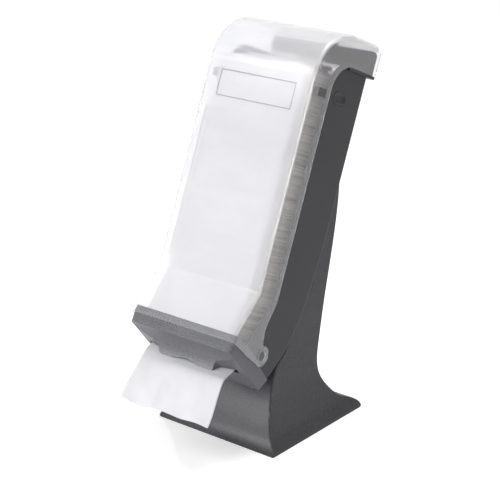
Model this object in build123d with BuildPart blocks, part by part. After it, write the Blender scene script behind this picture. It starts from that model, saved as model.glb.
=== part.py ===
from build123d import *
from math import asin, cos, degrees, hypot, radians, sin, sqrt
import os

# A tower napkin dispenser: a clear-fronted magazine that leans back on a flared pedestal.
# Folded napkins lie flat in the magazine and leave one at a time through a mouth in the nose.
# World frame: +X right, -Y front, +Z up, origin at the centre of the base on the table.
# The magazine is drawn upright in its own frame (Y to the rear, Z up along the magazine, origin
# at the lower front corner of the cover) and is then set down in the tilted frame "tower".

# ---- driving dimensions (mm) ----
# stance
base_side = 235.0
lean = 23.0
nose_y = -195.0
nose_z = 215.0

# napkins: their size sets the magazine's width and depth
napkin_width = 165.0
napkin_depth = 108.0
stack_slope_gap = 4.0
stack_toe = [(14, 8), (14, -11), (30, -23), (47, -39), (57, -46)]
sheet_thickness = 1.6
napkin_path = [(-166, 156.6), (-175, 153.6), (-184, 150.8), (-195, 144.5), (-205, 130),
               (-216, 107), (-227, 90), (-240, 84)]

# room left around the napkins: beside, before, behind and above the stack
side_room = 19.5
front_room = 1.5
chute_room = 1.5
rod_room = 11.5
back_room = 16.0
head_overhang = 16.0
top_room = 20.0

# cover
cover_wall = 2.0
cover_corner = 8.0
kink_y = 37.0
kink_z = 78.0
kink_round = 7.0
head_top = 486.0
head_depth = 48.0
head_round = 10.0
bend_radius = 79.0
rear_line = 85.0
shoulder_radius = 42.0
hem = [(0, 0), (22, -8), (40, -16), (58, -23.5)]
waist = [(75, 8), (72.2, 22), (75, 38)]
waist_top = 78.0
ear_front = (-9.0, -13.0)
sign_width = 142.0
sign_height = 40.0
sign_drop = 114.0
sign_depth = 0.7
sign_sill = 5.0
sign_sill_depth = 0.4
sign_corner = 4.0
sign_step = 1.0
rib_sheet = 1.6
rib_depth = 10.0
rib_foot = 96.0
rib_drop = 152.0

# hinge
pivot_y = 79.8
pivot_z = -14.7
ear_radius = 16.4
ear_ring_radius = 12.7
ear_ring_height = 0.8
pin_radius = 7.5
pin_chamfer = 0.8
pin_flange_radius = 11.5
pin_flange = 2.5

# magazine housing
housing_wall = 2.9
tongue = 7.0
back_foot = 205.0
keel_upper_radius = 860.0
keel_sweep = 10.0
keel_radius = 225.0
flange_thickness = 4.4
flange_corner = 2.0
flange_run = 8.0
core_run_on = 8.0
back_fillet = 5.0
head_panel_inset = 6.0
housing_toe = (38.0, -1.5)
toe_top = 68.0
seam_start = (40.0, 0.4)
seam_end = (116.0, -51.0)

# nose
nose_tip_z = 11.0
lip_z = -16.0
flap_y = 34.0
flap_z = -52.0
jaw_z = -67.0
flap_hollow = 6.0
nose_corner = 6.5
nose_under = 3.0
hollow_rise = 60.0
scoop_floor = (57.0, 6.5)
scoop_end = (51.0, 20.0)
scoop_round = 10.0
mouth_half = 87.0
mouth_low = -9.0
mouth_edge = -1.2
mouth_crown = 4.2
mouth_crown_half = 32.0
mouth_straight = 58.0
mouth_end = 0.5
mouth_reach = 26.0

chute_sheet = 2.0
chute_top = 130.0
chute_radius = 290.0
chute_sweep = 34.0
chute_foot = (52.0, -49.5)

# pedestal: its walls are given by how far they stand in from the base's edge at a height
column_inset = 4.3
pedestal_wall = 3.0
pedestal_edge = 2.5
front_flare = [(6.5, 14), (11.5, 39), (20.5, 81), (27.5, 113), (57.5, 152)]
rear_flare = [(2.5, 9.5), (10.5, 16.5), (34.5, 28), (68.5, 57.5), (89.5, 91), (93, 114.5),
              (89.5, 142), (76.5, 208)]
side_flare = [(7, 14), (16.5, 39), (21.5, 75)]
column_foot = 130.0
crown_z = 285.0
crown_inset = 2.5
saddle_run_on = 30.0
boss_radius = 6.5
boss_inset = 22.0
boss_reach = 60.0

# base
pad_thickness = 2.0
pad_inset = 1.0
plate_thickness = 3.0
plate_gap = 2.5
ballast_width = 150.0
ballast_depth = 120.0
ballast_thickness = 16.0
ballast_corner = 5.0
ballast_chamfer = 1.5
base_corner = 2.0

# follower and its rails
plate_sheet = 2.5
plate_side_inset = 7.5
plate_front_inset = 9.5
plate_rear_inset = 4.5
plate_corner = 10.0
weight_length = 110.0
weight_depth = 60.0
weight_thickness = 7.0
weight_corner = 6.0
weight_chamfer = 1.0
handle_width = 60.0
handle_depth = 10.0
handle_height = 10.0
handle_bar = 3.0
handle_round = 2.5
rail_spacing = 90.0
rod_radius = 4.0
rod_foot = 98.0
bush_radius = 7.5
bush_wall = 2.0
bush_length = 10.0
bracket_sheet = 4.0
bracket_overhang = 15.0
seat_gap = 0.3

# latch
latch_drop = 50.0
button_length = 36.0
button_height = 20.0
button_proud = 0.6
button_round = 0.5
button_edge = 2.2
dish_depth = 3.0
dish_taper = 55.0
button_rim = 1.5
button_flange = 2.4
button_centre_y = 117.0
arm_height = 6.0
arm_foot = 12.0
hook_reach = 92.0
hook_sheet = 2.4
hook_height = 13.0
hook_step = 1.0
hook_window = (8.0, 7.0)
catch_setback = 9.0
catch_size = (6.0, 5.0)
latch_pad = 21.0
latch_pad_y = 65.5
arm_face = 91.4
catch_height = 3.4

# fasteners
base_screw_length = 10.0
back_screw_length = 11.0
screw_x = 70.0
screw_high_z = 214.0
screw_low_angle = 24.0
screw_radius = 2.0
screw_head_radius = 3.6
screw_head = 2.2
head_lift = 0.05

# clearances
slide_gap = 0.7
sweep_gap = 0.5
edge_gap = 0.4
seam_gap = 0.5
running_fit = 0.06
press_fit = 0.02

# ---- sizes that follow ----
stack_half = napkin_width / 2
cover_half = stack_half + side_room
inner_half = cover_half - cover_wall
side_half = inner_half - slide_gap
hollow_half = side_half - housing_wall
bend_y = kink_y + bend_radius
bend_z = head_top - bend_radius
stack_front = kink_y + cover_wall + front_room
stack_rear = stack_front + napkin_depth
stack_middle = (stack_front + stack_rear) / 2
chute_y = stack_rear + chute_room
rod_y = stack_rear + rod_room
back_y = rod_y + back_room
back_inner = back_y - housing_wall
head_rear = back_y + head_overhang
head_floor = head_top - head_depth
stack_top = head_floor - top_room
latch_z = head_floor - latch_drop
sign_centre_z = head_top - sign_drop
rib_top = head_top - rib_drop
shoulder_y = rear_line + shoulder_radius
shoulder_z = head_floor - shoulder_radius
tongue_radius = shoulder_radius + tongue
tongue_top = shoulder_z + tongue_radius
column_half = side_half - column_inset
base_half = base_side / 2
flange_top = head_floor - edge_gap
flange_bottom = flange_top - flange_thickness
rod_top = flange_top + bracket_sheet
head_panel_rear = head_rear - head_panel_inset
head_panel_front = head_panel_rear - housing_wall
head_lip = head_top - head_round
head_panel_top = head_lip - slide_gap
chute_centre = (chute_y - chute_radius, chute_top)
plate_width = napkin_width - 2 * plate_side_inset
plate_front = stack_front + plate_front_inset
plate_rear = stack_rear - plate_rear_inset
pad_half = base_half - pad_inset
plate_half = base_half - pedestal_wall - plate_gap
boss_place = base_half - boss_inset
far = 600.0

# Centres of the keel's two arcs, and the jaw point where the lower one ends.
keel_way = Vector(cos(radians(keel_sweep)), -sin(radians(keel_sweep)))
keel_upper_centre = Vector(back_y - keel_upper_radius, back_foot)
keel_centre = keel_upper_centre + keel_way * (keel_upper_radius - keel_radius)
jaw_angle = degrees(asin((keel_centre.Y - jaw_z) / keel_radius))
jaw_y = keel_centre.X + keel_radius * cos(radians(jaw_angle))
core_angle = radians(-jaw_angle - core_run_on)
core_foot = keel_centre + Vector(cos(core_angle), sin(core_angle)) * (keel_radius - housing_wall)

# The cover's lower front swings past the nose, so the nose is round about the hinge axis,
# just inside the nearest point of the cover's sloping inner face.
slope = kink_y / kink_z
cover_reach = (pivot_y - slope * pivot_z) / hypot(1, slope) - cover_wall
nose_radius = cover_reach - sweep_gap
nose_tip_y = pivot_y - sqrt(nose_radius**2 - (nose_tip_z - pivot_z) ** 2)
lip_y = pivot_y - sqrt(nose_radius**2 - (lip_z - pivot_z) ** 2)
nose_front_y = pivot_y - nose_radius

# The magazine's frame: its Z axis leans back from the vertical by the lean angle.
tower = Plane(
    (0, nose_y, nose_z),
    x_dir=(1, 0, 0),
    z_dir=Vector(0, 0, 1).rotate(Axis.X, -lean),
)

os.makedirs("parts", exist_ok=True)


def write(piece, name, frame=Plane.XY):
    """Set a finished piece down in its frame, label it and write it to its own file."""
    placed = piece.part.moved(frame.location)
    placed.label = name
    export_step(placed, f"parts/{name}.step")


def slab(sketch, half):
    """Thicken a side outline evenly to both sides of the middle plane."""
    extrude(sketch.sketch, amount=half, both=True)


# ---- side outlines of the magazine, all in the YZ plane ----

# Front, top and rear of the cover as one closed figure that runs on below the nose.
with BuildSketch(Plane.YZ) as envelope:
    with BuildLine():
        FilletPolyline((-far * slope, -far), (kink_y, kink_z), (kink_y, bend_z), radius=kink_round)
        CenterArc((bend_y, bend_z), bend_radius, 90, 90)
        FilletPolyline((bend_y, head_top), (head_rear, head_top), (head_rear, -far), radius=head_round)
        Line((head_rear, -far), (-far * slope, -far))
    make_face()

# What the cover keeps of that figure: all before its rear line and above its lower edge,
# with a waist above the hinge ear and a round shoulder under the head.
with BuildSketch(Plane.YZ) as panel:
    with BuildLine():
        Polyline((-far, far), (-far, 0), hem[0])
        lower_edge = Spline(hem + [(pivot_y + ear_front[0], pivot_z + ear_front[1])])
        Line(lower_edge @ 1, (pivot_y, pivot_z))
        Spline([(pivot_y, pivot_z)] + waist + [(rear_line, waist_top)],
               tangents=((-0.3, 1), (0, 1)))
        Line((rear_line, waist_top), (rear_line, shoulder_z))
        CenterArc((shoulder_y, shoulder_z), shoulder_radius, 90, 90)
        Polyline((shoulder_y, head_floor), (far, head_floor), (far, far), (-far, far))
    make_face()
    with Locations((pivot_y, pivot_z)):
        Circle(ear_radius)

with BuildSketch(Plane.YZ) as panel_clear:
    add(panel.sketch_local)
    offset(amount=edge_gap, kind=Kind.INTERSECTION)

# The straight seam between nose and housing: the nose lies below it.
seam_rise = (seam_start[1] - seam_end[1]) / (seam_start[0] - seam_end[0])


def seam_z(y):
    """Height of the seam line at a depth y."""
    return seam_start[1] + seam_rise * (y - seam_start[0])


def below_seam(drop):
    """All that lies below the seam line, moved down by a gap."""
    with BuildSketch(Plane.YZ) as zone:
        with BuildLine():
            Polyline((-far, seam_z(-far) - drop), (far, seam_z(far) - drop), (-far, -far), close=True)
        make_face()
    return zone.sketch_local


nose_zone = below_seam(seam_gap)
seam_zone = below_seam(0)


def keel(inset, run_on=0.0):
    """Lower back curve from the jaw up to the straight back: two arcs that meet smoothly."""
    start = -jaw_angle - run_on
    CenterArc(keel_centre, keel_radius - inset, start, -keel_sweep - start)
    CenterArc(keel_upper_centre, keel_upper_radius - inset, -keel_sweep, keel_sweep)


# Outline of the grey body: nose, keel, back, head flange and the tongue inside the cover.
hollow_way = Vector(flap_y - lip_y, flap_z - lip_z).rotate(Axis.Z, 90).normalized()
flap_middle = Vector((lip_y + flap_y) / 2, (lip_z + flap_z) / 2) + hollow_way * flap_hollow
with BuildSketch(Plane.YZ) as hull:
    with BuildLine():
        Line(housing_toe, (nose_tip_y, nose_tip_z))
        ThreePointArc((nose_tip_y, nose_tip_z), (nose_front_y, pivot_z), (lip_y, lip_z))
        ThreePointArc((lip_y, lip_z), flap_middle, (flap_y, flap_z))
        Line((flap_y, flap_z), (jaw_y, jaw_z))
        keel(0)
        Polyline((back_y, back_foot), (back_y, flange_bottom), (head_panel_rear, flange_bottom),
                 (head_panel_rear, tongue_top), (shoulder_y, tongue_top))
        CenterArc((shoulder_y, shoulder_z), tongue_radius, 90, 90)
        Polyline((rear_line - tongue, shoulder_z), (rear_line - tongue, toe_top), housing_toe)
    make_face()

# Outline of the hollow behind the walls, open to the front and to the head.
with BuildSketch(Plane.YZ) as core:
    with BuildLine():
        keel(housing_wall, core_run_on)
        Polyline((back_inner, back_foot), (back_inner, flange_top),
                 (head_panel_front, flange_top), (head_panel_front, far), (-far, far),
                 (-far, -far), core_foot)
    make_face()

# ---- cover: a clear shell with the front, top, head and sides in one ----
with BuildPart() as cover_block:
    slab(envelope, cover_half)
    fillet(cover_block.faces().sort_by(Axis.X)[-1].edges().filter_by_position(
        Axis.Z, -far + 1, far), cover_corner)
    fillet(cover_block.faces().sort_by(Axis.X)[0].edges().filter_by_position(
        Axis.Z, -far + 1, far), cover_corner)

# The head is open to the rear below its rounded lip, where the housing's head panel stands.
with BuildPart() as cover_hollow:
    with BuildSketch(Plane.YZ) as hollow_side:
        add(envelope.sketch_local)
        offset(amount=-cover_wall, kind=Kind.INTERSECTION)
    slab(hollow_side, inner_half)
    fillet(cover_hollow.faces().sort_by(Axis.X)[-1].edges().filter_by_position(
        Axis.Z, -far + 4, far), cover_corner - cover_wall)
    fillet(cover_hollow.faces().sort_by(Axis.X)[0].edges().filter_by_position(
        Axis.Z, -far + 4, far), cover_corner - cover_wall)
    with BuildSketch(Plane.YZ) as head_window:
        with Locations((bend_y, head_lip)):
            Rectangle(far, far, align=(Align.MIN, Align.MAX))
    slab(head_window, inner_half)

with BuildPart() as cover:
    add(cover_block.part)
    add(cover_hollow.part, mode=Mode.SUBTRACT)
    with BuildSketch(Plane.YZ) as sides:
        add(panel.sketch_local)
    extrude(amount=far, both=True, mode=Mode.INTERSECT)
    for side in (-1, 1):
        with BuildSketch(Plane.YZ.offset(side * cover_half)):
            with Locations((pivot_y, pivot_z)):
                Circle(ear_ring_radius)
        extrude(amount=side * ear_ring_height)
    with BuildSketch(Plane.YZ):
        with Locations((pivot_y, pivot_z)):
            Circle(pin_radius + running_fit)
    extrude(amount=far, both=True, mode=Mode.SUBTRACT)
    with BuildSketch(Plane.XZ.offset(-kink_y)):
        with Locations((0, sign_centre_z)):
            RectangleRounded(sign_width, sign_height, sign_corner)
    extrude(amount=-sign_sill_depth, mode=Mode.SUBTRACT)
    with BuildSketch(Plane.XZ.offset(-kink_y)):
        with Locations((0, sign_centre_z + sign_sill / 2)):
            RectangleRounded(sign_width - sign_step, sign_height - sign_sill, sign_corner)
    extrude(amount=-sign_depth, mode=Mode.SUBTRACT)
    for side in (-1, 1):
        with BuildSketch(Plane.XZ.offset(-kink_y - cover_wall)):
            with Locations((side * (stack_half + slide_gap + rib_sheet / 2), rib_foot)):
                Rectangle(rib_sheet, rib_top - rib_foot, align=(Align.CENTER, Align.MIN))
        extrude(amount=-rib_depth)
        with BuildSketch(Plane.YZ.offset(side * inner_half)):
            with Locations((head_rear, head_lip)):
                Rectangle(cover_corner, head_lip - head_floor, align=(Align.MAX, Align.MAX))
        extrude(amount=side * cover_wall)
write(cover, "cover", tower)


# ---- housing: the grey channel behind the napkins, with the flange under the head ----
def wall_hole(y, z, radius):
    """A round hole along X through both side walls."""
    with BuildSketch(Plane.YZ) as hole:
        with Locations((y, z)):
            Circle(radius)
    extrude(hole.sketch, amount=far, both=True, mode=Mode.SUBTRACT)


def back_screw_planes():
    """Where the housing is screwed to the pedestal: on the inner face, pointing outwards."""
    lower = radians(-screw_low_angle)
    way = Vector(cos(lower), sin(lower))
    foot = keel_centre + way * (keel_radius - housing_wall)
    return [
        Plane((0, foot.X, foot.Y), x_dir=(1, 0, 0), z_dir=(0, way.X, way.Y)),
        Plane((0, back_inner, screw_high_z), x_dir=(1, 0, 0), z_dir=(0, 1, 0)),
    ]


with BuildPart() as housing:
    with BuildSketch(Plane.YZ):
        add(hull.sketch_local)
        add(seam_zone, mode=Mode.SUBTRACT)
    extrude(amount=side_half, both=True)
    back_edges = housing.edges().filter_by(
        lambda e: abs(abs(e.center().X) - side_half) < 0.01
        and e.center().Y > shoulder_y and e.center().Z < flange_bottom - 1
        and abs((e @ 0).Z - (e @ 1).Z) > 10
    )
    fillet(back_edges, back_fillet)
    with BuildSketch(Plane.YZ):
        with Locations((head_rear, flange_bottom)):
            Rectangle(head_rear - shoulder_y + flange_run, flange_thickness,
                      align=(Align.MAX, Align.MIN))
        add(panel_clear.sketch_local, mode=Mode.SUBTRACT)
    extrude(amount=cover_half, both=True)
    flange_corners = housing.edges().filter_by(Axis.Z).filter_by_position(
        Axis.Y, head_rear - 0.01, head_rear + 0.01)
    fillet(flange_corners, flange_corner)
    with BuildSketch(Plane.XZ.offset(-head_panel_rear)):
        with Locations((0, flange_bottom)):
            Rectangle(2 * side_half, head_panel_top - flange_bottom, align=(Align.CENTER, Align.MIN))
    extrude(amount=housing_wall)
    panel_corners = housing.edges().filter_by(Axis.Y).group_by(Axis.Z)[-1]
    fillet(panel_corners, cover_corner)
    with BuildSketch(Plane.YZ):
        add(core.sketch_local)
    extrude(amount=hollow_half, both=True, mode=Mode.SUBTRACT)
    wall_hole(pivot_y, pivot_z, pin_radius + press_fit)
    for place in back_screw_planes():
        with BuildSketch(place):
            with Locations((-screw_x, 0), (screw_x, 0)):
                Circle(screw_radius + press_fit)
        extrude(amount=2 * housing_wall, both=True, mode=Mode.SUBTRACT)
    with BuildSketch(Plane.YZ):
        with Locations((button_centre_y, latch_z)):
            SlotOverall(button_length + 2 * edge_gap, button_height + 2 * edge_gap)
    extrude(amount=far, both=True, mode=Mode.SUBTRACT)
write(housing, "housing", tower)

# ---- faceplate: the nose below the seam, with the mouth ----
lip = Vector(0, lip_y, lip_z)
jaw = Vector(0, jaw_y, jaw_z)
nose_out = (jaw - lip).cross(Vector(1, 0, 0)).normalized()


def scoop(inset):
    """The room cut from both lower corners of the nose, for fingers that reach for a napkin.

    One outline serves the whole way from the lip to the jaw: a floor that slopes in from the
    side wall and ends in a round hollow beside the middle of the flap. Its Y axis points out.
    """
    section = Plane(lip, x_dir=(1, 0, 0), z_dir=Vector(1, 0, 0).cross(nose_out))
    floor_fall = scoop_floor[1] / (side_half - scoop_floor[0])
    with BuildPart() as room:
        with BuildSketch(section) as outline:
            for side in (-1, 1):
                with BuildLine():
                    FilletPolyline((side * (side_half + far), -far * floor_fall),
                                   (side * scoop_floor[0], scoop_floor[1]),
                                   (side * scoop_end[0], scoop_end[1]), radius=scoop_round)
                    Polyline((side * scoop_end[0], scoop_end[1]), (side * scoop_end[0], far),
                             (side * (side_half + far), far),
                             (side * (side_half + far), -far * floor_fall))
                make_face()
            if inset:
                offset(amount=inset)
        extrude(outline.sketch, amount=far, both=True)
    return room.part


with BuildPart() as nose_form:
    with BuildSketch(Plane.YZ):
        add(hull.sketch_local)
        add(nose_zone, mode=Mode.INTERSECT)
    extrude(amount=side_half, both=True)
    add(scoop(0), mode=Mode.SUBTRACT)

with BuildPart() as nose_hollow:
    with BuildSketch(Plane.YZ):
        with BuildLine():
            Line((nose_tip_y + hollow_rise * slope, nose_tip_z + hollow_rise),
                 (nose_tip_y, nose_tip_z))
            ThreePointArc((nose_tip_y, nose_tip_z), (nose_front_y, pivot_z), (lip_y, lip_z))
            ThreePointArc((lip_y, lip_z), flap_middle, (flap_y, flap_z))
            Line((flap_y, flap_z), (jaw_y, jaw_z))
            keel(0)
            Line((back_y, back_foot),
                 (nose_tip_y + hollow_rise * slope, nose_tip_z + hollow_rise))
        make_face()
        offset(amount=-housing_wall, kind=Kind.INTERSECTION)
    extrude(amount=hollow_half, both=True)
    add(scoop(housing_wall), mode=Mode.SUBTRACT)

# The mouth is cut square to the flap at its lower edge, which has a crown in the middle.
flap_way = Vector(0, flap_y - lip_y, flap_z - lip_z).normalized()
mouth_plane = Plane(
    (0, flap_y, flap_z), x_dir=(1, 0, 0), z_dir=(0, flap_way.Z, -flap_way.Y)
)

with BuildPart() as faceplate:
    add(nose_form.part)
    add(nose_hollow.part, mode=Mode.SUBTRACT)
    front_edges = faceplate.edges().filter_by(
        lambda e: abs(abs(e.center().X) - side_half) < 0.01
        and e.center().Y < nose_tip_y and (e @ 0).Z * (e @ 1).Z < 0
    )
    fillet(front_edges, nose_corner)
    lower_edges = faceplate.edges().filter_by(
        lambda e: abs(e.center().X) > side_half - edge_gap and e.length > 2 * nose_corner
        and abs((e.center() - lip).dot(nose_out)) < edge_gap
    )
    fillet(lower_edges, nose_under)
    with BuildSketch(mouth_plane) as mouth:
        with BuildLine():
            Spline(
                (-mouth_half, mouth_end), (-mouth_straight, mouth_edge),
                (-mouth_crown_half, mouth_edge), (0, mouth_crown), (mouth_crown_half, mouth_edge),
                (mouth_straight, mouth_edge), (mouth_half, mouth_end),
            )
            Polyline((mouth_half, mouth_end), (mouth_half, mouth_low), (-mouth_half, mouth_low),
                     (-mouth_half, mouth_end))
        make_face()
    extrude(amount=mouth_reach, both=True, mode=Mode.SUBTRACT)
    wall_hole(pivot_y, pivot_z, pin_flange_radius + edge_gap)
write(faceplate, "faceplate", tower)

# ---- hinge pins: pressed through the housing from the inside, the ears turn on them ----
for side, name in ((-1, "hinge_pin_left"), (1, "hinge_pin_right")):
    with BuildPart() as hinge_pin:
        with BuildSketch(Plane.YZ.offset(side * (hollow_half - edge_gap / 2))):
            with Locations((pivot_y, pivot_z)):
                Circle(pin_flange_radius)
        extrude(amount=-side * pin_flange)
        with BuildSketch(Plane.YZ.offset(side * (hollow_half - edge_gap))):
            with Locations((pivot_y, pivot_z)):
                Circle(pin_radius)
        extrude(amount=side * (cover_half + ear_ring_height - hollow_half + edge_gap))
        outer_end = hinge_pin.faces().sort_by(Axis.X)[-1 if side > 0 else 0]
        chamfer(outer_end.edges(), pin_chamfer)
    write(hinge_pin, name, tower)

# ---- feed chute: the curved shelf that carries the napkins down to the mouth ----
with BuildPart() as feed_chute:
    with BuildSketch(Plane.YZ) as chute_side:
        with BuildLine() as chute_line:
            bend = CenterArc(chute_centre, chute_radius, 0, -chute_sweep)
            Line(bend @ 1, chute_foot)
        trace(line_width=chute_sheet)
    extrude(amount=hollow_half - edge_gap, both=True)
    add(scoop(housing_wall + edge_gap), mode=Mode.SUBTRACT)
write(feed_chute, "feed_chute", tower)

# ---- napkins ----
with BuildPart() as napkin_stack:
    with BuildSketch(Plane.YZ):
        with BuildLine():
            rear = CenterArc(chute_centre, chute_radius - chute_sheet / 2 - seat_gap, 0, -chute_sweep)
            Polyline([rear @ 0, (stack_rear, chute_top), (stack_rear, stack_top),
                      (stack_front, stack_top),
                      (stack_front, (stack_front - stack_slope_gap) / slope)]
                     + stack_toe + [rear @ 1])
        make_face()
    extrude(amount=stack_half, both=True)
    add(scoop(housing_wall + 2 * edge_gap), mode=Mode.SUBTRACT)
write(napkin_stack, "napkin_stack", tower)

with BuildPart() as hanging_napkin:
    with BuildSketch(Plane.YZ):
        with BuildLine():
            Spline(napkin_path)
        trace(line_width=sheet_thickness)
    extrude(amount=stack_half, both=True)
write(hanging_napkin, "hanging_napkin")

# ---- follower: a weighted plate on the stack, guided by two rods ----
rod_x = rail_spacing / 2
with BuildPart() as follower_plate:
    with BuildSketch(Plane.XY.offset(stack_top + seat_gap)):
        with Locations((0, (plate_front + plate_rear) / 2)):
            RectangleRounded(plate_width, plate_rear - plate_front, plate_corner)
        with Locations((-rod_x, rod_y), (rod_x, rod_y)):
            Rectangle(2 * bush_radius, rod_y - plate_rear + 1, align=(Align.CENTER, Align.MAX))
        with Locations((-rod_x, rod_y), (rod_x, rod_y)):
            Circle(bush_radius)
            Circle(bush_radius - bush_wall, mode=Mode.SUBTRACT)
    extrude(amount=plate_sheet)
write(follower_plate, "follower_plate", tower)
plate_top = stack_top + seat_gap + plate_sheet

for side, name in ((-1, "follower_bush_left"), (1, "follower_bush_right")):
    with BuildPart() as bush:
        with BuildSketch(Plane.XY.offset(plate_top)):
            with Locations((side * rod_x, rod_y)):
                Circle(bush_radius)
        extrude(amount=bush_length)
        with BuildSketch(Plane.XY.offset(plate_top)):
            with Locations((side * rod_x, rod_y)):
                Circle(bush_radius - bush_wall - press_fit)
        extrude(amount=-plate_sheet)
        with BuildSketch(Plane.XY.offset(plate_top - plate_sheet)):
            with Locations((side * rod_x, rod_y)):
                Circle(rod_radius + running_fit)
        extrude(amount=plate_sheet + bush_length, mode=Mode.SUBTRACT)
    write(bush, name, tower)

with BuildPart() as follower_weight:
    with BuildSketch(Plane.XY.offset(plate_top)):
        with Locations((0, stack_middle)):
            RectangleRounded(weight_length, weight_depth, weight_corner)
    extrude(amount=weight_thickness)
    chamfer(follower_weight.faces().sort_by(Axis.Z)[-1].edges(), weight_chamfer)
write(follower_weight, "follower_weight", tower)

with BuildPart() as follower_handle:
    with BuildSketch(Plane.XZ.offset(-stack_middle)):
        with Locations((0, plate_top + weight_thickness)):
            Rectangle(handle_width, handle_height, align=(Align.CENTER, Align.MIN))
            Rectangle(handle_width - 2 * handle_bar, handle_height - handle_bar,
                      align=(Align.CENTER, Align.MIN), mode=Mode.SUBTRACT)
    extrude(amount=handle_depth / 2, both=True)
    top_edges = follower_handle.edges().filter_by(Axis.Y).group_by(Axis.Z)[-1]
    fillet(top_edges, handle_round)
write(follower_handle, "follower_handle", tower)

for side, name in ((-1, "guide_rod_left"), (1, "guide_rod_right")):
    with BuildPart() as guide_rod:
        with BuildSketch(Plane.XY.offset(rod_foot)):
            with Locations((side * rod_x, rod_y)):
                Circle(rod_radius)
        extrude(amount=rod_top - rod_foot)
    write(guide_rod, name, tower)

for height, name in ((rod_foot, "rod_bracket_low"), (rod_top - bracket_sheet, "rod_bracket_high")):
    with BuildPart() as bracket:
        with BuildSketch(Plane.XY.offset(height)):
            with Locations((0, rod_y - bush_radius)):
                Rectangle(rail_spacing + 2 * bracket_overhang, far, align=(Align.CENTER, Align.MIN))
        extrude(amount=bracket_sheet)
        with BuildSketch(Plane.YZ):
            add(core.sketch_local)
        extrude(amount=far, both=True, mode=Mode.INTERSECT)
        with BuildSketch(Plane.XY.offset(height)):
            with Locations((-rod_x, rod_y), (rod_x, rod_y)):
                Circle(rod_radius + press_fit)
        extrude(amount=bracket_sheet, mode=Mode.SUBTRACT)
    write(bracket, name, tower)

# ---- latch: a hook on each side of the cover, held by a button's catch in the housing ----
catch_y = hook_reach - catch_setback
for side, hand in ((-1, "left"), (1, "right")):
    hook_face = hollow_half - slide_gap
    with BuildPart() as hook:
        with BuildSketch(Plane.YZ.offset(side * inner_half)):
            with Locations((latch_pad_y, latch_z)):
                Rectangle(latch_pad, hook_height)
        extrude(amount=-side * (inner_half - hook_face + hook_sheet))
        with BuildSketch(Plane.YZ.offset(side * hook_face)):
            with Locations((latch_pad_y - latch_pad / 2, latch_z)):
                Rectangle(hook_reach - latch_pad_y + latch_pad / 2, hook_height - 2 * hook_step,
                          align=(Align.MIN, Align.CENTER))
            with Locations((catch_y, latch_z)):
                Rectangle(*hook_window, mode=Mode.SUBTRACT)
        extrude(amount=-side * hook_sheet)
    write(hook, f"latch_hook_{hand}", tower)

    with BuildPart() as button:
        with BuildSketch(Plane.YZ.offset(side * (side_half + button_proud))):
            with Locations((button_centre_y, latch_z)):
                SlotOverall(button_length, button_height)
        extrude(amount=-side * (side_half + button_proud - arm_face + hook_sheet))
        outer_face = button.faces().sort_by(Axis.X)[-1 if side > 0 else 0]
        fillet(outer_face.edges(), button_round)
        with BuildSketch(Plane.YZ.offset(side * (side_half + button_proud))):
            with Locations((button_centre_y, latch_z)):
                SlotOverall(button_length - 2 * button_edge, button_height - 2 * button_edge)
        extrude(amount=-side * dish_depth, taper=dish_taper, mode=Mode.SUBTRACT)
        with BuildSketch(Plane.YZ.offset(side * (hollow_half - edge_gap))):
            with Locations((button_centre_y, latch_z)):
                SlotOverall(button_length + 2 * button_rim, button_height + 2 * button_rim)
        extrude(amount=-side * button_flange)
        with BuildSketch(Plane.YZ.offset(side * arm_face)):
            with Locations((catch_y - catch_size[0] / 2, latch_z)):
                Rectangle(button_centre_y - catch_y + arm_foot, arm_height,
                          align=(Align.MIN, Align.CENTER))
        extrude(amount=-side * hook_sheet)
        with BuildSketch(Plane.YZ.offset(side * arm_face)):
            with Locations((catch_y, latch_z)):
                Rectangle(*catch_size)
        extrude(amount=side * catch_height)
    write(button, f"release_button_{hand}", tower)

# ---- pedestal: a flared hollow column cut to the magazine's back ----
crown = tower.from_local_coords((0, back_y - crown_inset, crown_z))


def pedestal_form(inset):
    """The pedestal's outline in both views as one solid, its walls moved in by the inset."""
    rim = base_half - inset
    with BuildPart() as form:
        with BuildSketch(Plane.YZ.offset(-base_side)) as side_view:
            with BuildLine():
                front = Spline([(-rim, pad_thickness)] + [(into - rim, z) for into, z in front_flare])
                rear = Spline([(rim, pad_thickness)] + [(rim - into, z) for into, z in rear_flare]
                              + [(crown.Y - inset, crown.Z)])
                Line(front @ 0, rear @ 0)
                Line(front @ 1, rear @ 1)
            make_face()
        extrude(side_view.sketch, amount=2 * base_side)
        with BuildSketch(Plane.XZ.offset(-base_side)) as front_view:
            with BuildLine():
                flare = ([(rim, pad_thickness)] + [(rim - into, z) for into, z in side_flare]
                         + [(column_half - inset, column_foot)])
                right = Spline(flare, tangents=((-0.1, 1), (0, 1)))
                left = Spline([(-x, z) for x, z in flare], tangents=((0.1, 1), (0, 1)))
                Line(right @ 0, left @ 0)
                Polyline(right @ 1, (column_half - inset, far), (inset - column_half, far), left @ 1)
            make_face()
        extrude(front_view.sketch, amount=2 * base_side, mode=Mode.INTERSECT)
    return form


def saddle(gap):
    """The magazine's back as a solid, grown by a gap, that the pedestal's top is cut to."""
    with BuildPart() as block:
        with BuildSketch(Plane.YZ) as outline:
            with BuildLine():
                keel(-gap, saddle_run_on)
                start = radians(-jaw_angle - saddle_run_on)
                foot = keel_centre + Vector(cos(start), sin(start)) * (keel_radius + gap)
                Polyline((back_y + gap, back_foot), (back_y + gap, far), (-far, far),
                         (-far, foot.Y), foot)
            make_face()
        extrude(outline.sketch, amount=far / 2, both=True)
    return block.part.moved(tower.location)


outer_form = pedestal_form(0)
with BuildPart() as outer_shape:
    add(outer_form.part)
    corner_edges = outer_shape.edges().filter_by(
        lambda e: abs(e.center().X) > column_half - 1 and e.bounding_box().size.Z > 5
        and e.bounding_box().size.Y > 1
    )
    fillet(corner_edges, pedestal_edge)

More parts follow.
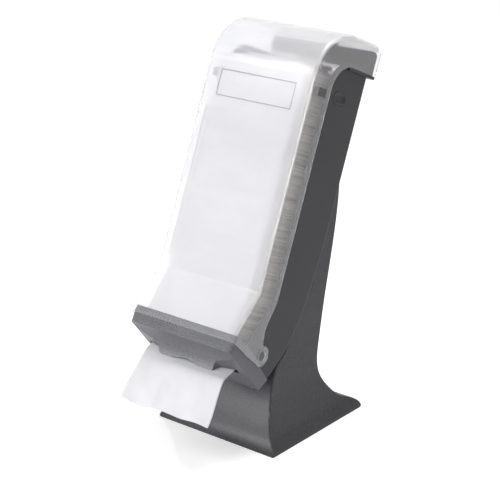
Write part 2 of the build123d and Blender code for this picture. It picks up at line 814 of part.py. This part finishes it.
with BuildPart() as bosses:
    with BuildSketch(Plane.XY.offset(pad_thickness + plate_thickness)):
        with GridLocations(2 * boss_place, 2 * boss_place, 2, 2):
            Circle(boss_radius)
    extrude(amount=boss_reach)
    add(outer_form.part, mode=Mode.INTERSECT)

screw_planes_world = [
    Plane(tower.location * place.location) for place in back_screw_planes()
]
inner_form = pedestal_form(pedestal_wall)
with BuildPart() as pedestal:
    add(outer_shape.part)
    add(inner_form.part - saddle(pedestal_wall), mode=Mode.SUBTRACT)
    add(bosses.part)
    add(saddle(0), mode=Mode.SUBTRACT)
    with BuildSketch(Plane.XY.offset(pad_thickness)):
        with GridLocations(2 * boss_place, 2 * boss_place, 2, 2):
            Circle(screw_radius + press_fit)
    extrude(amount=base_screw_length, mode=Mode.SUBTRACT)
    for place in screw_planes_world:
        with BuildSketch(place):
            with Locations((-screw_x, 0), (screw_x, 0)):
                Circle(screw_radius + press_fit)
        extrude(amount=back_screw_length, mode=Mode.SUBTRACT)
write(pedestal, "pedestal")

# ---- base: plate, ballast, screws and pad ----
with BuildPart() as base_plate:
    with BuildSketch(Plane.XY.offset(pad_thickness)):
        RectangleRounded(2 * plate_half, 2 * plate_half, base_corner)
    extrude(amount=plate_thickness)
    with Locations(Plane.XY.offset(pad_thickness)):
        with GridLocations(2 * boss_place, 2 * boss_place, 2, 2):
            Cylinder(screw_radius + edge_gap, 3 * plate_thickness, mode=Mode.SUBTRACT)
            Cylinder(screw_head_radius + edge_gap, 2 * screw_head, mode=Mode.SUBTRACT)
write(base_plate, "base_plate")

with BuildPart() as ballast_weight:
    with BuildSketch(Plane.XY.offset(pad_thickness + plate_thickness)):
        RectangleRounded(ballast_width, ballast_depth, ballast_corner)
    extrude(amount=ballast_thickness)
    chamfer(ballast_weight.faces().sort_by(Axis.Z)[-1].edges(), ballast_chamfer)
write(ballast_weight, "ballast_weight")

with BuildPart() as base_pad:
    with BuildSketch():
        RectangleRounded(2 * pad_half, 2 * pad_half, base_corner)
    extrude(amount=pad_thickness)
write(base_pad, "base_pad")


def pan_screw(plane, places, length):
    """Pan-head screws: heads on the near side of the plane, shanks along its normal."""
    with BuildPart() as screws:
        with BuildSketch(plane) as heads:
            with Locations(*places):
                Circle(screw_head_radius)
        extrude(heads.sketch, amount=-screw_head)
        with BuildSketch(plane) as shanks:
            with Locations(*places):
                Circle(screw_radius)
        extrude(shanks.sketch, amount=length)
    return screws


base_corners = [(x, y) for x in (-boss_place, boss_place) for y in (-boss_place, boss_place)]
base_screws = pan_screw(
    Plane.XY.offset(pad_thickness + screw_head), base_corners, base_screw_length - screw_head
)
write(base_screws, "base_screws")

with BuildPart() as housing_screws:
    for place in back_screw_planes():
        add(pan_screw(place.offset(-head_lift), ((-screw_x, 0), (screw_x, 0)), back_screw_length).part)
write(housing_screws, "housing_screws", tower)
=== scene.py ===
"""Looks for a tower napkin dispenser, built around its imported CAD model."""
import math
import random

import bmesh
import bpy
from mathutils import Matrix, Vector


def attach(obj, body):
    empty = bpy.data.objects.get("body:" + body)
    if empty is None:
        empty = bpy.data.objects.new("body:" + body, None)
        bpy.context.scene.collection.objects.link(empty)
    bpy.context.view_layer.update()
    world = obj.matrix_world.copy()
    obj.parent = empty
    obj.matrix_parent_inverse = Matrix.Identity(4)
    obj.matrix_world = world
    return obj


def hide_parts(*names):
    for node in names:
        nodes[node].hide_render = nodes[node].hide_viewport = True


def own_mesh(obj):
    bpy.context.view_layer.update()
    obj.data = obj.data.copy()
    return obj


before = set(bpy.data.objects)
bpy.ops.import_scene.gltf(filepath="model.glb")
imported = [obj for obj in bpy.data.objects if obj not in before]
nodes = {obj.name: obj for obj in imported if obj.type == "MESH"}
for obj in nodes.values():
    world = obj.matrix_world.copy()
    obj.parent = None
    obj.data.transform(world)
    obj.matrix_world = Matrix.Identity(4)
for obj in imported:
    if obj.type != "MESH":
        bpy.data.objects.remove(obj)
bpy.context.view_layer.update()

MM = 0.001

# ---- the magazine's frame ----
# Y to its rear, Z up along it, leaning back from the vertical. Its places are in
# millimetres, and the row frame's are in metres.
LEAN = math.radians(23)
TOWER_ORIGIN = Vector((0, -0.195, 0.215))
TOWER = Matrix.Translation(TOWER_ORIGIN) @ Matrix.Rotation(-LEAN, 4, "X")
UP_TOWER = (0, math.sin(LEAN), math.cos(LEAN))


def tower(x, y, z):
    """A point of the magazine's own frame, in millimetres, set down in the row frame."""
    return TOWER @ Vector((x * MM, y * MM, z * MM))


def line_at(height):
    """How far along the magazine's length a height of its frame lies, in the row frame."""
    return tower(0, 0, height).dot(Vector(UP_TOWER))


# The top of the cover's clear lower rim, and how softly the milky front begins there.
RIM_LINE = line_at(11)
RIM_FADE = 0.0006

# The sign field in the cover's front: a shallow step, along whose edge a thin line of painted
# shade darkens the cover, full up to its core and gone at its reach, in metres.
SIGN_WIDTH = 142
SIGN_HEIGHT = 40
SIGN_LINE = line_at(372)
SIGN_EDGE_SHADE_SHARE = 0.7
SIGN_EDGE_CORE = 0.0004
SIGN_EDGE_REACH = 0.001


# ---- camera ----
AZIMUTH = math.radians(38.8)
ELEVATION = math.radians(20.3)
SENSOR = 36
LENS = 3.2 * SENSOR
CAMERA_PLACE = Vector((1.4596, -1.8437, 1.1494))

# The way back from the object to the camera.
back = Vector((
    math.sin(AZIMUTH) * math.cos(ELEVATION),
    -math.cos(AZIMUTH) * math.cos(ELEVATION),
    math.sin(ELEVATION),
))
camera_data = bpy.data.cameras.new("camera")
camera_data.lens = LENS
camera_data.sensor_width = SENSOR
camera = bpy.data.objects.new("camera", camera_data)
camera.location = CAMERA_PLACE
camera.rotation_mode = "QUATERNION"
camera.rotation_quaternion = (-back).to_track_quat("-Z", "Y")
bpy.context.scene.collection.objects.link(camera)
bpy.context.scene.camera = camera


# ---- material helpers ----
class Finish:
    """A material with one Principled shader, whose sockets can be fed by procedural nodes."""

    def __init__(self, name, **sockets):
        self.material = bpy.data.materials.new(name)
        self.material.use_nodes = True
        self.tree = self.material.node_tree
        self.shader = self.tree.nodes["Principled BSDF"]
        self.output = self.tree.nodes["Material Output"]
        self.place = self.add("ShaderNodeTexCoord").outputs["Object"]
        for socket, value in sockets.items():
            self.shader.inputs[socket.replace("_", " ")].default_value = value

    def add(self, kind, **values):
        """A new node, with its input sockets and its properties set by name."""
        node = self.tree.nodes.new(kind)
        for key, value in values.items():
            if key in node.inputs:
                node.inputs[key].default_value = value
            else:
                setattr(node, key, value)
        return node

    def link(self, source, target):
        self.tree.links.new(source, target)

    def noise(self, scale, detail=2.0, stretch=(1, 1, 1), place=None):
        """Noise over the piece, in metres: scale is how many grains fit in one metre."""
        mapping = self.add("ShaderNodeMapping", Scale=stretch)
        self.link(place or self.place, mapping.inputs["Vector"])
        noise = self.add("ShaderNodeTexNoise", Scale=scale, Detail=detail)
        self.link(mapping.outputs["Vector"], noise.inputs["Vector"])
        return noise.outputs["Fac"]

    def ramp(self, source, stops):
        """A colour ramp through (place, colour) stops."""
        ramp = self.add("ShaderNodeValToRGB")
        elements = ramp.color_ramp.elements
        while len(elements) > 1:
            elements.remove(elements[-1])
        elements[0].position = stops[0][0]
        elements[0].color = (*stops[0][1], 1)
        for place, colour in stops[1:]:
            elements.new(place).color = (*colour, 1)
        self.link(source, ramp.inputs["Fac"])
        return ramp.outputs["Color"]

    def span(self, source, low, high, start=0.0, end=1.0):
        """A number mapped from start..end to low..high."""
        node = self.add("ShaderNodeMapRange", **{
            "From Min": start, "From Max": end, "To Min": low, "To Max": high})
        self.link(source, node.inputs["Value"])
        return node.outputs["Result"]

    def axis(self, source, name):
        """One number of a vector."""
        split = self.add("ShaderNodeSeparateXYZ")
        self.link(source, split.inputs["Vector"])
        return split.outputs[name]

    def math(self, operation, first, second=0):
        """An operation on two numbers, each one given or taken from a node."""
        node = self.add("ShaderNodeMath", operation=operation)
        for socket, value in zip(node.inputs, (first, second)):
            if isinstance(value, (int, float)):
                socket.default_value = value
            else:
                self.link(value, socket)
        return node.outputs["Value"]

    def mix(self, share, first, second):
        """A blend of two colours. The node has a set of sockets for each kind of data."""
        node = self.add("ShaderNodeMix", data_type="RGBA")
        for socket, value in ((node.inputs[0], share), (node.inputs[6], first),
                              (node.inputs[7], second)):
            if isinstance(value, tuple):
                socket.default_value = (*value, 1)
            elif isinstance(value, (int, float)):
                socket.default_value = value
            else:
                self.link(value, socket)
        return node.outputs[2]

    def colour(self, source):
        self.link(source, self.shader.inputs["Base Color"])

    def roughness(self, source):
        self.link(source, self.shader.inputs["Roughness"])

    def bump(self, source, height, strength):
        node = self.add("ShaderNodeBump", Strength=strength, Distance=height)
        self.link(source, node.inputs["Height"])
        self.link(node.outputs["Normal"], self.shader.inputs["Normal"])


def graphite(name, light=(0.024, 0.024, 0.027), dark=(0.009, 0.009, 0.011),
             spark=(0.075, 0.075, 0.083)):
    """Satin moulded plastic with a fine metallic speckle."""
    finish = Finish(name, Metallic=0.2, Specular_IOR_Level=0.3)
    speckle = finish.noise(1500, detail=1.0)
    drift = finish.noise(14)
    grains = finish.ramp(speckle, [(0.36, dark), (0.52, light), (0.7, spark)])
    finish.colour(finish.mix(0.18, grains, finish.ramp(drift, [(0.3, dark), (0.7, light)])))
    finish.roughness(finish.span(speckle, 0.36, 0.5, 0.3, 0.7))
    finish.bump(speckle, 0.00008, 0.35)
    return finish.material


def sign_edge_painted_shade(finish, height):
    """How much painted shade darkens the cover along the sign field's edge, at a place on the
    cover.
    """
    beside = finish.math("ABSOLUTE", finish.axis(finish.place, "X"))
    beside = finish.math("SUBTRACT", beside, SIGN_WIDTH / 2 * MM)
    above = finish.math("ABSOLUTE", finish.math("SUBTRACT", height, SIGN_LINE))
    above = finish.math("SUBTRACT", above, SIGN_HEIGHT / 2 * MM)
    edge = finish.math("ABSOLUTE", finish.math("MAXIMUM", beside, above))
    return finish.span(edge, SIGN_EDGE_SHADE_SHARE, 0, SIGN_EDGE_CORE, SIGN_EDGE_REACH)


def frosted(name):
    """Clear plastic: its front and top are milky, its sides and its lower rim are clearer."""
    finish = Finish(name, IOR=1.4, Coat_Weight=0.12, Coat_Roughness=0.1)
    haze = finish.noise(9)
    normal = finish.add("ShaderNodeTexCoord").outputs["Normal"]
    sideways = finish.math("ABSOLUTE", finish.axis(normal, "X"))
    sideways = finish.span(sideways, 0, 1, 0.75, 0.97)
    up = finish.add("ShaderNodeVectorMath", operation="DOT_PRODUCT")
    finish.link(finish.place, up.inputs[0])
    up.inputs[1].default_value = UP_TOWER
    height = up.outputs["Value"]
    rim = finish.span(height, 1, 0, RIM_LINE - RIM_FADE, RIM_LINE)
    clear = finish.math("MAXIMUM", sideways, rim)
    milk = finish.ramp(haze, [(0.3, (0.88, 0.88, 0.9)), (0.7, (0.915, 0.915, 0.932))])
    # Painted shade: a thin dark grey line along the sign field's step.
    milk = finish.mix(sign_edge_painted_shade(finish, height), milk, (0.42, 0.42, 0.43))
    finish.colour(finish.mix(clear, milk, (0.93, 0.93, 0.94)))
    finish.link(finish.span(clear, 0.72, 0.95), finish.shader.inputs["Transmission Weight"])
    finish.roughness(finish.span(clear, 0.13, 0.1))
    return finish.material


def paper(name, white=(0.56, 0.56, 0.584), shade=(0.48, 0.48, 0.502)):
    """Soft tissue with a faint crepe and loose fibres."""
    finish = Finish(name, Roughness=0.95)
    fibres = finish.noise(420, detail=4.0, stretch=(1, 3, 1))
    cloud = finish.noise(35)
    finish.colour(finish.mix(0.5, finish.ramp(cloud, [(0.3, shade), (0.7, white)]), white))
    finish.bump(fibres, 0.0002, 0.3)
    return finish.material


def napkin_edges_shaded_sides(name):
    """The stack's surface: pale fold edges in front, and at the sides warm cut edges darkened with
    painted shade.
    """
    finish = Finish(name, Roughness=0.95)
    normal = finish.add("ShaderNodeNewGeometry").outputs["Normal"]
    sideways = finish.math("ABSOLUTE", finish.axis(normal, "X"))
    sideways = finish.span(sideways, 0, 1, 0.4, 0.8)
    tilt = finish.add("ShaderNodeMapping", Rotation=(LEAN, 0, 0))
    finish.link(finish.place, tilt.inputs["Vector"])
    leaves = finish.noise(1, detail=3.0, stretch=(7, 7, 430), place=tilt.outputs["Vector"])
    front = finish.ramp(leaves, [
        (0.36, (0.68, 0.66, 0.68)), (0.5, (0.9, 0.89, 0.92)), (0.7, (0.95, 0.95, 0.97))])
    # Painted shade: the sides are much darker than the front because they face away from the key
    # light.
    side = finish.ramp(leaves, [
        (0.34, (0.26, 0.235, 0.21)), (0.52, (0.5, 0.46, 0.42)), (0.7, (0.66, 0.62, 0.57))])
    finish.colour(finish.mix(sideways, front, side))
    finish.bump(leaves, 0.0003, 0.3)
    return finish.material


def steel(name, tone, rough, stretch=(1, 1, 1)):
    """Zinc-plated or drawn steel with faint streaks."""
    finish = Finish(name, Metallic=1.0)
    streaks = finish.noise(300, detail=3.0, stretch=stretch)
    finish.colour(finish.ramp(streaks, [
        (0.3, (tone * 0.8,) * 3), (0.7, (tone, tone, tone * 1.02))]))
    finish.roughness(finish.span(streaks, rough * 0.8, rough * 1.3, 0.3, 0.7))
    return finish.material


def plastic(name, colour, rough):
    """Plain moulded plastic with a fine spark-eroded texture."""
    finish = Finish(name)
    grain = finish.noise(1100)
    darker = tuple(share * 0.8 for share in colour)
    finish.colour(finish.ramp(grain, [(0.3, darker), (0.7, colour)]))
    finish.roughness(finish.span(grain, rough * 0.9, rough * 1.15, 0.3, 0.7))
    finish.bump(grain, 0.00006, 0.25)
    return finish.material


def rubber(name):
    """Dull black rubber with a coarse grain."""
    finish = Finish(name, Roughness=0.8)
    grain = finish.noise(700, detail=3.0)
    finish.colour(finish.ramp(grain, [(0.3, (0.012, 0.012, 0.013)), (0.7, (0.03, 0.03, 0.032))]))
    finish.bump(grain, 0.0001, 0.5)
    return finish.material


def dress(material, *names):
    """Gives CAD nodes a material."""
    for name in names:
        slots = nodes[name].material_slots
        if not slots:
            nodes[name].data.materials.append(material)
        for slot in slots:
            slot.material = material


dress(graphite("graphite"), "housing")
dress(graphite("pedestal_graphite", light=(0.036, 0.036, 0.04), spark=(0.1, 0.1, 0.11)),
      "pedestal")
# The faceplate's graphite is lighter than the housing's: partly its own lighter grey, and partly
# painted light on its front, which faces down, away from the lamps.
dress(graphite("nose_graphite_with_painted_light", light=(0.105, 0.105, 0.117), dark=(0.045, 0.045, 0.05),
               spark=(0.22, 0.22, 0.244)),
      "faceplate")
dress(graphite("button_graphite"), "release_button_left", "release_button_right")
dress(frosted("frosted"), "cover")
dress(plastic("pin_plastic", (0.05, 0.054, 0.066), 0.35), "hinge_pin_left", "hinge_pin_right")
dress(plastic("hook_plastic", (0.045, 0.045, 0.045), 0.35), "latch_hook_left", "latch_hook_right")
dress(plastic("chute_plastic", (0.1, 0.1, 0.105), 0.35), "feed_chute")
dress(steel("zinc", 0.5, 0.35), "base_plate", "base_screws", "housing_screws",
      "rod_bracket_high", "rod_bracket_low")
dress(steel("drawn_rod", 0.6, 0.2, stretch=(1, 1, 0.02)), "guide_rod_left", "guide_rod_right")
dress(steel("follower_steel", 0.45, 0.35), "follower_plate", "follower_handle", "follower_weight")
dress(plastic("bush_plastic", (0.75, 0.74, 0.7), 0.4), "follower_bush_left", "follower_bush_right")
dress(steel("cast", 0.12, 0.6), "ballast_weight")
dress(rubber("rubber"), "base_pad")


# ---- napkins ----
def piece(name, points, faces, material, body):
    """A mesh object in the row frame that rides on a body."""
    mesh = bpy.data.meshes.new(name)
    mesh.from_pydata(points, [], faces)
    mesh.materials.append(material)
    obj = bpy.data.objects.new(name, mesh)
    bpy.context.scene.collection.objects.link(obj)
    shape = bmesh.new()
    shape.from_mesh(mesh)
    bmesh.ops.recalc_face_normals(shape, faces=shape.faces)
    shape.to_mesh(mesh)
    shape.free()
    for polygon in mesh.polygons:
        polygon.use_smooth = True
    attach(obj, body)
    return obj


def along(points, place):
    """The second number of a list of points, read between them at a place on the first."""
    for (low, start), (high, end) in zip(points, points[1:]):
        if place <= high:
            return start + (end - start) * max(0.0, (place - low) / (high - low))
    return points[-1][1]


# Half the width of a folded napkin, in millimetres.
NAPKIN_HALF = 82.5

# The stack in the magazine's frame, in millimetres. It is two pieces, one on the other.
STACK_FOOT = -43
STACK_SPLIT = 130
STACK_TOP = 418
STACK_REAR = 148.2
# How far forward its front lies, and half its width, each by height.
STACK_FRONT = [(-44, 53.5), (-39, 47), (-23, 30), (-11, 14), (8, 14), (77, 40.5),
               (STACK_TOP, 40.5)]
STACK_HALVES = [(-44, 50), (-30, 52), (-20, NAPKIN_HALF), (STACK_TOP, NAPKIN_HALF)]
# The chute's arc under the rear of the lowest napkins: its centre's depth and height.
CHUTE_DEPTH = -140
CHUTE_HEIGHT = 130
CHUTE_REACH = 288.4
# The room behind the leaves, by which they clear the chute.
CHUTE_ROOM = 0.2
# One drawn leaf: how high it is, how far its lower edge is drawn in, and the most by which
# it falls short in front, falls short at a side and slides to a side.
LEAF = 2.1
LEAF_INSET = 0.9
LEAF_SHORT = 0.7
LEAF_NARROW = 0.9
LEAF_SLIDE = 0.4
# The heights where one bundle lies on the next, and how deep the line between them is.
BUNDLE_GAPS = [(60, 1.2), (174, 3.0), (271, 1.6), (330, 2.0)]
# The first and last leaves lie even: the waves and slides grow over this height.
EVEN_HEIGHT = 12
# How many points lie along a leaf's front and its side, and how far its corners are cut.
FRONT_POINTS = 28
SIDE_POINTS = 12
CORNER_CUT = 1.2


def leaf_edge(half, front, rear):
    """Points round one leaf: along the front, the right, the rear and the left."""
    corners = [(-half, front), (half, front), (half, rear), (-half, rear)]
    counts = [FRONT_POINTS, SIDE_POINTS, FRONT_POINTS, SIDE_POINTS]
    points = []
    for start, end, count in zip(corners, corners[1:] + corners[:1], counts):
        for step in range(count):
            share = step / count
            points.append([start[0] + (end[0] - start[0]) * share,
                           start[1] + (end[1] - start[1]) * share])
    for place in (0, FRONT_POINTS, FRONT_POINTS + SIDE_POINTS, 2 * FRONT_POINTS + SIDE_POINTS):
        corner = points[place]
        corner[0] -= math.copysign(CORNER_CUT, corner[0])
        corner[1] += CORNER_CUT if place <= FRONT_POINTS else -CORNER_CUT
    return points


def ripple(x, y, z):
    """How far a leaf lies above its even place: the paper's soft waves, in millimetres."""
    wave = math.sin(x * 0.052 + z * 0.031) + 0.7 * math.sin(x * 0.121 - z * 0.047 + 1.3)
    wave += 0.5 * math.sin(y * 0.09 + z * 0.06 + x * 0.02)
    return 0.75 * wave


def stack_rear(z):
    """How far back the stack reaches at a height: straight above the chute's arc."""
    if z >= CHUTE_HEIGHT:
        return STACK_REAR
    return CHUTE_DEPTH + math.sqrt(CHUTE_REACH ** 2 - (z - CHUTE_HEIGHT) ** 2)


def stack_piece(name, foot, top, material, seed):
    """Thin leaves lying on one another between two heights, as one closed mesh."""
    rng = random.Random(seed)
    rings = []
    count = round((top - foot) / LEAF)
    height = (top - foot) / count
    for leaf in range(count):
        low = foot + leaf * height
        gap = next((depth for z, depth in BUNDLE_GAPS if low <= z < low + height), 0)
        short = rng.uniform(0, LEAF_SHORT)
        narrow = rng.uniform(0, LEAF_NARROW)
        slide = rng.uniform(-LEAF_SLIDE, LEAF_SLIDE)
        # Three rings to a leaf, each at a share of its height: drawn in, rounded and full.
        for share, inset in ((0.1, LEAF_INSET + gap), (0.4 if gap else 0.3, 0.1), (0.8, 0.0)):
            z = low + share * height
            half = along(STACK_HALVES, z) - narrow - inset
            front = along(STACK_FRONT, z) + short + inset
            rear = stack_rear(z) - inset - CHUTE_ROOM
            fade = min(1.0, (top - z) / EVEN_HEIGHT, (z - foot) / EVEN_HEIGHT)
            rings.append([(x + slide * fade, y, z + fade * ripple(x, y, z))
                          for x, y in leaf_edge(half, front, rear)])
    points = [tower(*point) for ring in rings for point in ring]
    size = len(rings[0])
    faces = [list(reversed(range(size))), list(range(len(points) - size, len(points)))]
    for ring in range(len(rings) - 1):
        for i in range(size):
            j = (i + 1) % size
            faces.append([ring * size + i, ring * size + j,
                          (ring + 1) * size + j, (ring + 1) * size + i])
    return piece(name, points, faces, material, "stand_body")


edges = napkin_edges_shaded_sides("napkin_edges_shaded_sides")
stack_low = stack_piece("napkins_below", STACK_FOOT, STACK_SPLIT, edges, 3)
stack_high = stack_piece("napkins_above", STACK_SPLIT, STACK_TOP, edges, 5)
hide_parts("napkin_stack")
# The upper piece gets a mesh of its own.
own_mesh(stack_high)

NAPKIN_THICK = 0.9
# The napkin in the mouth, in millimetres: its run from the mouth to its lower edge, in the
# row frame's depth and height, at the left side, in the middle and at the right side.
RUN_LEFT = [(-166, 156.6), (-175, 153.4), (-184, 147.8), (-200, 132.2), (-223, 111.9),
            (-236, 98.7), (-241, 92.5)]
RUN_MIDDLE = [(-166, 156.6), (-175, 153.6), (-184, 150.6), (-195, 144), (-208, 122),
              (-219, 101), (-230, 84.5)]
RUN_RIGHT = [(-166, 156.8), (-175, 154.2), (-184, 151.6), (-194, 146), (-206, 126),
             (-219.5, 99), (-230, 84)]
# How far its wavy lower edge is lifted, at even places across.
LOWER_EDGE = [(lift,) for lift in (0, -6.5, -7.2, 0.5, 1.0, -0.2, -0.8, 1.0, 2.4, 0.5)]
# Up to this share of its run the mouth holds it flat, and from there it hangs free.
FREE_FROM = 0.35
# In depth and height: the way the free sheet swells, and the way its lower edge is lifted.
SWELL_WAY = (0.74, -0.67)
LIFT_WAY = (-0.45, 0.9)
NAPKIN_ROWS = 46
NAPKIN_COLUMNS = 66
# The last share of a curve that still lies before its last point.
BEFORE_END = 0.9999


def smooth_point(points, share):
    """A place on a smooth curve (Catmull-Rom) through points that share it out evenly."""
    place = min(share, BEFORE_END) * (len(points) - 1)
    at = int(place)
    t = place - at
    before, start = points[max(at - 1, 0)], points[at]
    end, after = points[at + 1], points[min(at + 2, len(points) - 1)]
    return [0.5 * (2 * b + (c - a) * t + (2 * a - 5 * b + 4 * c - d) * t * t
                   + (3 * b - a - 3 * c + d) * t ** 3)
            for a, b, c, d in zip(before, start, end, after)]


def napkin_point(across, down):
    """The sheet's middle surface: across runs from -1 to 1, down from 0 to 1."""
    x = across * NAPKIN_HALF
    outer = smooth_point(RUN_LEFT if across < 0 else RUN_RIGHT, down)
    middle = smooth_point(RUN_MIDDLE, down)
    share = abs(across) ** 1.6
    y = middle[0] + (outer[0] - middle[0]) * share
    z = middle[1] + (outer[1] - middle[1]) * share
    free = max(0.0, down - FREE_FROM) / (1 - FREE_FROM)
    swell = free * (1.5 * math.sin(x * 0.055 + 0.7) + 0.8 * math.sin(x * 0.13 + down * 4))
    # A short crease just below the mouth, to the right of the middle.
    crease = 1.1 * math.exp(-((x - 40) / 2.6) ** 2) * math.exp(-((down - 0.4) / 0.09) ** 2)
    lift = free ** 2 * smooth_point(LOWER_EDGE, (across + 1) / 2)[0]
    return Vector((x, y + SWELL_WAY[0] * swell - crease + LIFT_WAY[0] * lift,
                   z + SWELL_WAY[1] * swell + LIFT_WAY[1] * lift))


def hanging_sheet(material):
    """The napkin that hangs from the mouth, as a thin closed sheet, and its length in mm."""
    grid = [[napkin_point(2 * c / NAPKIN_COLUMNS - 1, r / NAPKIN_ROWS)
             for c in range(NAPKIN_COLUMNS + 1)] for r in range(NAPKIN_ROWS + 1)]
    width = NAPKIN_COLUMNS + 1
    points = []
    for side in (1, -1):
        for r, row in enumerate(grid):
            for c, place in enumerate(row):
                down = grid[min(r + 1, NAPKIN_ROWS)][c] - grid[max(r - 1, 0)][c]
                over = row[min(c + 1, NAPKIN_COLUMNS)] - row[max(c - 1, 0)]
                face = over.cross(down).normalized()
                points.append((place + side * NAPKIN_THICK / 2 * face) * MM)
    layer = width * (NAPKIN_ROWS + 1)
    faces = []
    for r in range(NAPKIN_ROWS):
        for c in range(NAPKIN_COLUMNS):
            a = r * width + c
            quad = [a, a + 1, a + 1 + width, a + width]
            faces.append(quad)
            faces.append([layer + i for i in reversed(quad)])
    rim = (list(range(width))
           + [r * width + width - 1 for r in range(1, NAPKIN_ROWS + 1)]
           + [NAPKIN_ROWS * width + c for c in range(width - 2, -1, -1)]
           + [r * width for r in range(NAPKIN_ROWS - 1, 0, -1)])
    for a, b in zip(rim, rim[1:] + rim[:1]):
        faces.append([a, layer + a, layer + b, b])
    middle = [row[width // 2] for row in grid]
    length = sum((end - start).length for start, end in zip(middle, middle[1:]))
    return piece("napkin_in_mouth", points, faces, material, "stand_body"), length


napkin, napkin_length = hanging_sheet(paper("napkin"))
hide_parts("hanging_napkin")
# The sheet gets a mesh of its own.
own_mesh(napkin)


# ---- floor and light ----
FLOOR_REACH = 12.0
FLOOR_GLOW = 0.4
# How strongly the white surroundings light the object; they look white at 1.
AMBIENT = 0.36


def floor():
    """A wide pale floor with a faint sheen, clean white to the camera."""
    mesh = bpy.data.meshes.new("floor")
    corners = [(-FLOOR_REACH, -FLOOR_REACH, 0), (FLOOR_REACH, -FLOOR_REACH, 0),
               (FLOOR_REACH, FLOOR_REACH, 0), (-FLOOR_REACH, FLOOR_REACH, 0)]
    mesh.from_pydata(corners, [], [(0, 1, 2, 3)])
    obj = bpy.data.objects.new("floor", mesh)
    bpy.context.scene.collection.objects.link(obj)
    finish = Finish("floor", Base_Color=(0.9, 0.9, 0.9, 1), Roughness=0.1, IOR=1.4)
    # It glows where it is looked at, directly or in the object, and lights nothing.
    rays = finish.add("ShaderNodeLightPath")
    seen = finish.math("MAXIMUM", rays.outputs["Is Camera Ray"], rays.outputs["Is Glossy Ray"])
    seen = finish.math("MAXIMUM", seen, rays.outputs["Is Transmission Ray"])
    glow = finish.add("ShaderNodeEmission")
    finish.link(finish.math("MULTIPLY", seen, FLOOR_GLOW), glow.inputs["Strength"])
    add = finish.add("ShaderNodeAddShader")
    finish.link(finish.shader.outputs["BSDF"], add.inputs[0])
    finish.link(glow.outputs["Emission"], add.inputs[1])
    finish.link(add.outputs["Shader"], finish.output.inputs["Surface"])
    obj.data.materials.append(finish.material)


def softbox(name, place, size, power, aim=(0, 0, 0.3)):
    """A rectangular lamp pointed at a place on the object, and hidden from the camera."""
    data = bpy.data.lights.new(name, "AREA")
    data.shape = "RECTANGLE"
    data.size, data.size_y = size
    data.energy = power
    lamp = bpy.data.objects.new(name, data)
    lamp.location = place
    lamp.visible_camera = False
    lamp.rotation_mode = "QUATERNION"
    lamp.rotation_quaternion = (Vector(aim) - Vector(place)).to_track_quat("-Z", "Y")
    bpy.context.scene.collection.objects.link(lamp)


floor()
softbox("key", (-1.5, -2.4, 2.5), (1.4, 1.4), 37)
softbox("front", (1.9, -2.0, 1.5), (0.7, 0.9), 24)
softbox("top", (0.3, 0.1, 2.3), (1.3, 1.0), 32)
softbox("low front", (-0.5, -1.1, 0.1), (0.5, 0.16), 6.4, (0, -0.18, 0.16))


def studio():
    """White surroundings that light the object more softly than they look."""
    world = bpy.data.worlds.new("world")
    world.use_nodes = True
    tree = world.node_tree
    background = tree.nodes["Background"]
    background.inputs["Color"].default_value = (1, 1, 1, 1)
    rays = tree.nodes.new("ShaderNodeLightPath")
    seen = rays.outputs["Is Camera Ray"]
    for kind in ("Is Glossy Ray", "Is Transmission Ray"):
        either = tree.nodes.new("ShaderNodeMath")
        either.operation = "MAXIMUM"
        tree.links.new(seen, either.inputs[0])
        tree.links.new(rays.outputs[kind], either.inputs[1])
        seen = either.outputs["Value"]
    strength = tree.nodes.new("ShaderNodeMapRange")
    strength.inputs["To Min"].default_value = AMBIENT
    strength.inputs["To Max"].default_value = 1.0
    tree.links.new(seen, strength.inputs["Value"])
    tree.links.new(strength.outputs["Result"], background.inputs["Strength"])
    return world


bpy.context.scene.world = studio()
bpy.context.scene.view_settings.view_transform = "Standard"
